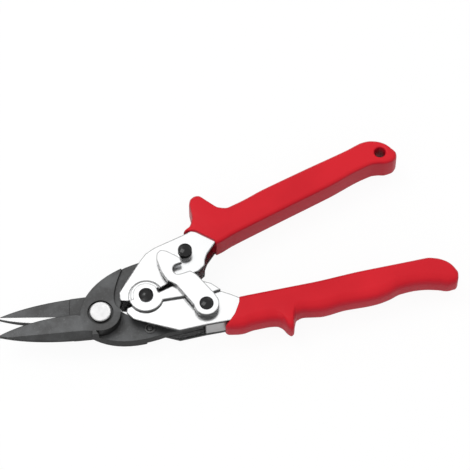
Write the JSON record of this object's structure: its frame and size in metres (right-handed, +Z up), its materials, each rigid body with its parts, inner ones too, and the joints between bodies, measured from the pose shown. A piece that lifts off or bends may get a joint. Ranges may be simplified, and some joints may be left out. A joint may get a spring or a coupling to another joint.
{
  "type": "aviation snips",
  "caption": "Compound-leverage sheet metal snips with two crossing jaws, plated link handles, red grips with finger guards and a hook latch.",
  "frame": {"origin": "on the jaw pivot's axis, at the flat outer face of the pivot nut, the lowest face of the tool", "axes": "+X along the tool from the jaw pivot towards the handles, +Y towards the handle with the hanging hole, +Z up along every pivot axis, towards the latch"},
  "size_m": [0.2444, 0.098, 0.0249],
  "materials": {
    "jaw_steel": "burnished dark forged steel, satin, with a ground bright edge",
    "bright_steel": "turned satin steel",
    "plated_sheet": "bright plated pressed sheet",
    "black_steel": "blackened steel, semi-gloss",
    "red_grip": "glossy moulded red plastic"
  },
  "bodies": {
    "rear_jaw": {"rear_jaw": "jaw_steel", "pivot_bolt": "bright_steel", "pivot_washer": "bright_steel", "pivot_nut": "bright_steel", "tail_rivet": "bright_steel"},
    "front_jaw": {"front_jaw": "jaw_steel"},
    "upper_handle": {"upper_handle": "plated_sheet", "upper_grip": "red_grip", "catch_stud": "black_steel", "upper_spacer": "bright_steel"},
    "lower_handle": {"lower_handle": "plated_sheet", "lower_grip": "red_grip", "hub_bolt": "black_steel", "hub_bush": "bright_steel", "hub_washer": "bright_steel", "hub_nut": "bright_steel", "return_spring": "black_steel", "latch_rivet": "black_steel", "lower_spacer": "bright_steel", "latch_spacer": "black_steel"},
    "latch": {"latch": "plated_sheet"}
  },
  "joints": [
    {"name": "jaw_pivot", "type": "hinge", "parent": "rear_jaw", "child": "front_jaw", "pos_m": [0, 0, 0.01245], "axis": [0, 0, 1], "range_deg": [-12, 8], "deforming": ["return_spring"]},
    {"name": "lower_knuckle", "type": "hinge", "parent": "rear_jaw", "child": "lower_handle", "pos_m": [0.0545, -0.017, 0.01245], "axis": [0, 0, 1], "range_deg": [-3.6, 5.4]},
    {"name": "upper_knuckle", "type": "hinge", "parent": "front_jaw", "child": "upper_handle", "pos_m": [0.0545, 0.017, 0.01245], "axis": [0, 0, 1], "range_deg": [-5.4, 3.6]},
    {"name": "latch_swing", "type": "hinge", "parent": "lower_handle", "child": "latch", "pos_m": [0.0545, -0.017, 0.01245], "axis": [0, 0, 1], "range_deg": [0, 14]}
  ],
  "couplings": [
    {"joint": "lower_knuckle", "follows": "jaw_pivot", "ratio": -0.449},
    {"joint": "upper_knuckle", "follows": "jaw_pivot", "ratio": 0.449}
  ]
}
